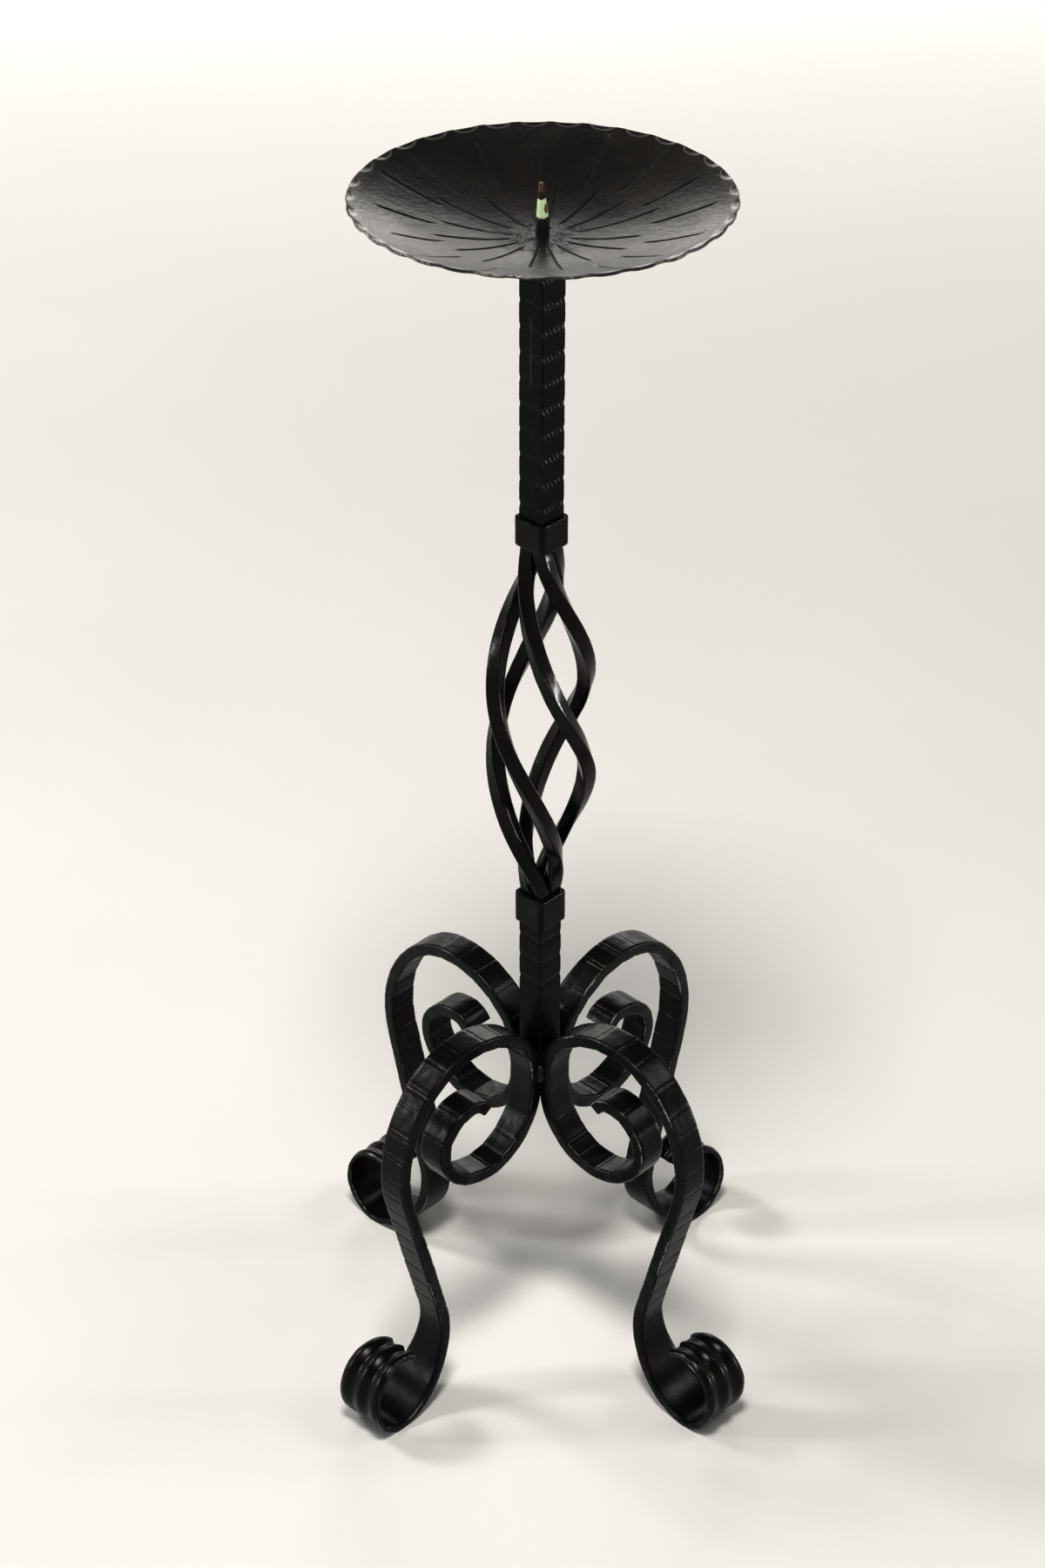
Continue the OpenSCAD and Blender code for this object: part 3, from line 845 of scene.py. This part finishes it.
def spike_iron():
    """Spike with bare dark iron below, a scrap of pale green paint and a rusty tip."""
    material, nodes = new_finish("Spike iron")
    place = nodes.get("ShaderNodeTexCoord", output="Object")
    x, y, z = nodes.parts(place)
    rise = (z - PAN_FLOOR * MM) / (SPIKE_HEIGHT * MM)
    patch = nodes.noise(place, 260.0, 3.0)
    fine = nodes.noise(place, 1200.0, 3.0)
    ragged = rise + (patch - 0.5) * 0.2
    iron = tint(nodes, (0.012, 0.012, 0.013), (0.035, 0.032, 0.03), patch)
    rust = tint(nodes, (0.030, 0.012, 0.010), (0.19, 0.11, 0.07), nodes.smooth(fine, 0.35, 0.65))
    old_paint = tint(nodes, (0.50, 0.64, 0.40), (0.66, 0.76, 0.54), fine)
    share = nodes.smooth(ragged, 0.36, 0.40)
    colour = tint(nodes, iron, old_paint, share)
    colour = tint(nodes, colour, (0.022, 0.010, 0.010), nodes.smooth(ragged, 0.70, 0.73))
    colour = tint(nodes, colour, rust, nodes.smooth(ragged, 0.80, 0.86))
    # One chip in the pale paint on the right, showing the rust below
    chip = ((y / (1.7 * MM)) ** 2 + ((rise - 0.54) / 0.10) ** 2) ** 0.5 - (patch - 0.5) * 1.6
    bare = (1.0 - nodes.smooth(chip, 0.85, 1.0)) * nodes.smooth(x, 0.0, 0.5 * MM)
    colour = tint(nodes, colour, (0.15, 0.065, 0.03), bare)
    relief = bump(nodes, patch + fine * 0.5, 0.4, 0.0004)
    finished(nodes, Base_Color=colour, Roughness=0.17 + share * 0.42, Normal=relief)
    return material


def weld_metal():
    """Rough weld metal under thin black paint."""
    material, nodes = new_finish("Weld metal")
    place = nodes.get("ShaderNodeTexCoord", output="Object")
    patch = nodes.noise(place, 300.0, 3.0)
    fine = nodes.noise(place, 1400.0, 3.0)
    colour = tint(nodes, (0.007, 0.006, 0.005), (0.045, 0.041, 0.037),
                  nodes.smooth(patch, 0.5, 0.75))
    relief = bump(nodes, patch + fine * 0.4, 0.6, 0.0008)
    finished(nodes, Base_Color=colour, Roughness=0.3 + fine * 0.2, Metallic=0.4, Normal=relief)
    return material


def floor_paint():
    """Matt pale floor with a painted glow: it emits more and more light away from the stand, up
    into the white room.
    """
    material, nodes = new_finish("Pale floor")
    place = nodes.get("ShaderNodeTexCoord", output="Object")
    x, y, z = nodes.parts(place)
    # Painted light: emission that grows with distance from the stand, where the lamps light the
    # floor less
    away = nodes.smooth((x * x + y * y) ** 0.5, 0.9, FLOOR * 0.75)
    glow = tint(nodes, (0.0, 0.0, 0.0), (0.86, 0.845, 0.82), away)
    cloud = nodes.noise(place, 3.0, 4.0)
    colour = tint(nodes, (0.575, 0.565, 0.55), (0.625, 0.615, 0.60), cloud)
    relief = bump(nodes, nodes.noise(place, 160.0, 3.0), 0.1, 0.001)
    finished(nodes, Base_Color=colour, Roughness=0.75 + cloud * 0.1, Normal=relief,
             Emission_Color=glow, Emission_Strength=1.0)
    return material


bar = bar_tree()
bar_sizes = {
    "Width": LEG_WIDTH * MM, "Thickness": LEG_THICKNESS * MM, "Corner": 1.5 * MM,
    "Section step": 1.1 * MM, "Nick depth": 0.36 * MM, "Side nick": 0.0,
    "Flute depth": 1.0 * MM, "Flute pitch": 8.2 * MM, "Wander": 1.3 * MM,
    "Dimple": 0.35 * MM, "Worn reach": 2.4 * MM, "Seed": 1.0,
}
leg_paint = black_paint("Leg paint", 0.7, 0.19, 0.19)
stem_paint = black_paint("Stem paint", 0.05, 0.22, 0.09, dashed=True)
rod_paint = black_paint("Rod paint", 0.15, 0.10, 0.18)
collar_paint = black_paint("Collar paint", 0.5, 0.16, 0.15)
weld = weld_metal()

for order, (side_name, turn) in enumerate(
        (("right", 0), ("rear", 90), ("left", 180), ("front", 270))):
    grown("scrolled_leg_" + side_name, bar,
          rail_mesh("leg rail", leg_stations(turn, 11 + order)),
          dict(bar_sizes, Seed=3.0 * order, Material=leg_paint), "black_paint",
          "leg_" + side_name)
    grown("twisted_rod_" + side_name, bar,
          rail_mesh("rod rail", rod_stations(-45 + turn)),
          dict(bar_sizes, Width=ROD_WIDTH * MM, Thickness=ROD_WIDTH * MM, Corner=0.9 * MM,
               Wander=0.25 * MM, Dimple=0.25 * MM, Seed=20 + order, Material=rod_paint),
          "black_paint", "basket_rod_" + side_name)

for side_name, turn in (("front", 270), ("right", 0), ("rear", 90), ("left", 180)):
    grown("weld_bead_" + side_name, bar, rail_mesh("bead rail", bead_stations(turn)),
          dict(bar_sizes, Width=8.5 * MM, Thickness=7 * MM, Corner=3.4 * MM,
               Dimple=2.2 * MM, Wander=1.6 * MM, Seed=turn * 0.1, Material=weld),
          "black_paint", "leg_weld_" + side_name)

upper_notches = [UPPER_NOTCH + NOTCH_PITCH * k for k in range(10)]
lower_notches = [LOWER_NOTCH - NOTCH_PITCH * k for k in range(3)]
stem_full = (STEM_WIDTH + STEM_SWELL) * MM
stem_sizes = dict(bar_sizes, Width=stem_full, Thickness=stem_full,
                  Corner=STEM_CORNER * MM, Wander=0.3 * MM, Dimple=0.3 * MM,
                  Material=stem_paint)
stem_sizes["Section step"] = 0.6 * MM
stem_sizes["Nick depth"] = NOTCH_DEPTH * MM
stem_sizes["Side nick"] = 1.0
grown("notched_upper_stem", bar,
      rail_mesh("stem rail", stem_stations(*UPPER_STEM, upper_notches)),
      dict(stem_sizes, Seed=31.0), "black_paint", "upper_stem")
grown("notched_lower_stem", bar,
      rail_mesh("stem rail", stem_stations(*LOWER_STEM, lower_notches)),
      dict(stem_sizes, Seed=32.0), "black_paint", "lower_stem")

for name, (bottom, top) in (("upper_collar", UPPER_COLLAR), ("lower_collar", LOWER_COLLAR)):
    wall = (COLLAR_WIDTH - STEM_WIDTH) / 2
    path = ring_stations(COLLAR_WIDTH / 2 - wall / 2, COLLAR_CORNER - wall / 2,
                         (bottom + top) / 2)
    grown("soft_" + name, bar, rail_mesh("collar rail", path, closed=True),
          dict(bar_sizes, Width=(top - bottom) * MM, Thickness=wall * MM, Corner=1.1 * MM,
               Wander=0.4 * MM, Dimple=0.3 * MM, Seed=bottom * 0.1, Material=collar_paint),
          "black_paint", name)

ring = ring_stations(12.3, 12.2, 842.0)
grown("pan_bead", bar, rail_mesh("pan weld rail", ring, closed=True),
      dict(bar_sizes, Width=3.8 * MM, Thickness=5.6 * MM, Corner=1.8 * MM,
           Wander=0.8 * MM, Dimple=0.5 * MM, Seed=55.0, Material=weld),
      "black_paint", "pan_weld")

spike_paint = spike_iron()
grown("pointed_spike", bar, rail_mesh("spike rail", spike_stations()),
      dict(bar_sizes, Width=2 * SPIKE_RADIUS * MM, Thickness=2 * SPIKE_RADIUS * MM,
           Corner=SPIKE_RADIUS * 0.98 * MM, Wander=0.1 * MM, Dimple=0.25 * MM, Seed=70.0,
           Material=spike_paint),
      "spike_iron", "pricket_spike")

pan_sizes = {
    "Radius": PAN_RADIUS * MM, "Steps round": SCALLOPS * 24, "Scallops": float(SCALLOPS),
    "Chisel lines": 16.0, "Chisel depth": 0.65 * MM, "Chisel width": 1.4 * MM,
    "Hollow width": 9.4 * MM, "Hollow reach": 5.3 * MM, "Hollow depth": 0.7 * MM,
    "Hollow push": 0.45 * MM,
    "Dimple": 0.9 * MM, "Lean": math.tan(math.radians(PAN_LEAN)),
    "Lean towards": math.radians(PAN_LEAN_TOWARDS), "Seed": 4.0, "Material": pan_paint(),
}
grown("hammered_pan", pan_tree(), rail_mesh("pan rail", pan_profile(), closed=True),
      pan_sizes, "pan_paint", "drip_pan")

for name in ("upper_butt_weld", "lower_butt_weld"):
    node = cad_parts[name]
    node.data.materials.clear()
    node.data.materials.append(weld)

# Floor, light and camera
floor_mesh = bpy.data.meshes.new("floor")
floor_mesh.from_pydata([(-FLOOR, -FLOOR, 0), (FLOOR, -FLOOR, 0), (FLOOR, FLOOR, 0),
                        (-FLOOR, FLOOR, 0)], [], [(0, 1, 2, 3)])
floor_mesh.materials.append(floor_paint())
floor = bpy.data.objects.new("floor", floor_mesh)
bpy.context.scene.collection.objects.link(floor)

world = bpy.data.worlds.new("Studio")
bpy.context.scene.world = world
bpy.context.scene.view_settings.view_transform = "Standard"
bpy.context.scene.view_settings.gamma = 0.72
world.use_nodes = True
sky = Nodes(world.node_tree)
world.node_tree.nodes.clear()
facing = sky.parts(sky.get("ShaderNodeTexCoord", output="Generated"))[2]
shade = tint(sky, (1.0, 0.955, 0.895), (0.09, 0.090, 0.090), sky.smooth(facing, 0.08, 0.62))
background = sky.add("ShaderNodeBackground", {"Color": shade, "Strength": 1.0})
leave = sky.add("ShaderNodeOutputWorld")
world.node_tree.links.new(background.outputs[0], leave.inputs["Surface"])


def soft_light(name, place, aim, width, power, colour=(1.0, 0.985, 0.96), height=None):
    data = bpy.data.lights.new(name, "AREA")
    data.shape = "RECTANGLE"
    data.size = width
    data.size_y = height or width
    data.energy = power
    data.color = colour
    light = bpy.data.objects.new(name, data)
    light.location = place
    light.rotation_mode = "QUATERNION"
    light.rotation_quaternion = (Vector(aim) - Vector(place)).to_track_quat("-Z", "Y")
    light.visible_camera = False
    bpy.context.scene.collection.objects.link(light)
    return light


key = soft_light("key", (-2.2, -0.9, 2.2), (0, 0, 0.3), 0.6, 46)
fill = soft_light("fill", (1.4, 1.6, 2.4), (0, 0, 0.3), 0.8, 19)
top = soft_light("top", (0.55, -0.75, 3.1), (0, 0, 0.3), 0.6, 78)
back = soft_light("back", (-2.7, 2.9, 1.5), (0, 0, 0.4), 1.7, 41)
glint = soft_light("glint", (2.0, 2.3, 0.42), (0, 0, 0.5), 0.3, 26)
window = soft_light("window", (-2.0, -2.15, 1.05), (0, 0, 0.1), 0.3, 34, (0.93, 0.97, 1.0), 0.7)

camera_data = bpy.data.cameras.new("camera")
camera_data.sensor_width = 36
camera_data.lens = 82.6
camera = bpy.data.objects.new("camera", camera_data)
TILT = math.radians(34.3)
forward = Vector((-0.6947 * math.cos(TILT), 0.7193 * math.cos(TILT), -math.sin(TILT)))
camera.location = (1.3334, -1.3976, 1.7729)
camera.rotation_mode = "QUATERNION"
camera.rotation_quaternion = forward.to_track_quat("-Z", "Y")
bpy.context.scene.collection.objects.link(camera)
bpy.context.scene.camera = camera
